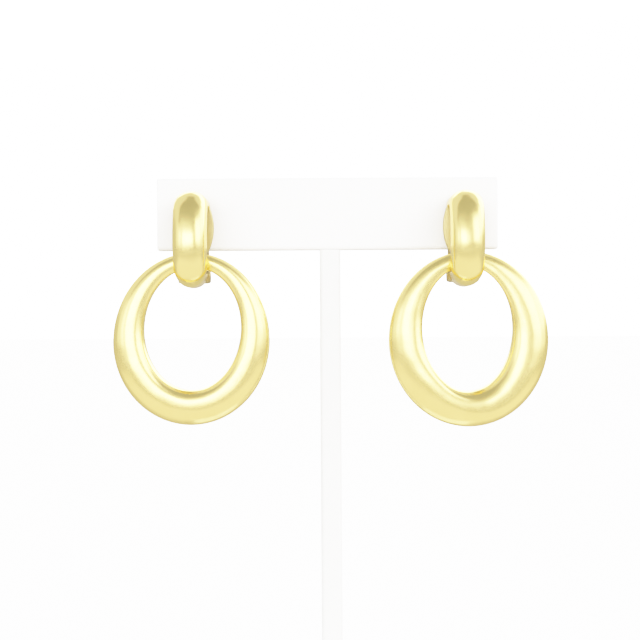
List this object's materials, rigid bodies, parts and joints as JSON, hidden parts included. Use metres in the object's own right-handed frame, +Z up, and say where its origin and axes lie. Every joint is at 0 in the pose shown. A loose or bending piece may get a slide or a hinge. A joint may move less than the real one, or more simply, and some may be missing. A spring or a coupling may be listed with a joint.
{
  "type": "doorknocker earring pair on a T-bar display stand",
  "caption": "Doorknocker clip earrings with swinging graduated hoops, clipped to a white leatherette T-bar display stand.",
  "frame": {"origin": "centre of the foot's underside, straight below the post", "axes": "+Z up the post, front of the earrings faces -Y, +X to the right as seen from the front"},
  "size_m": [0.0716, 0.04, 0.101],
  "materials": {
    "gold": "softly polished yellow gold with fine wear",
    "clip_gold": "satin yellow gold",
    "leatherette": "fine-grained white leatherette"
  },
  "bodies": {
    "stand": {"stand_foot": "leatherette", "stand_post": "leatherette", "stand_bar": "leatherette", "left_top": "gold", "left_clip": "clip_gold", "right_top": "gold", "right_clip": "clip_gold"},
    "left_hoop": {"left_hoop": "gold"},
    "right_hoop": {"right_hoop": "gold"}
  },
  "joints": [
    {"name": "left_hoop_swing", "type": "hinge", "parent": "stand", "child": "left_hoop", "pos_m": [-0.0222, -0.00603, 0.08705], "axis": [1, 0, 0], "range_deg": [-170, 75]},
    {"name": "right_hoop_swing", "type": "hinge", "parent": "stand", "child": "right_hoop", "pos_m": [0.0225, -0.00603, 0.08705], "axis": [1, 0, 0], "range_deg": [-170, 75]}
  ]
}
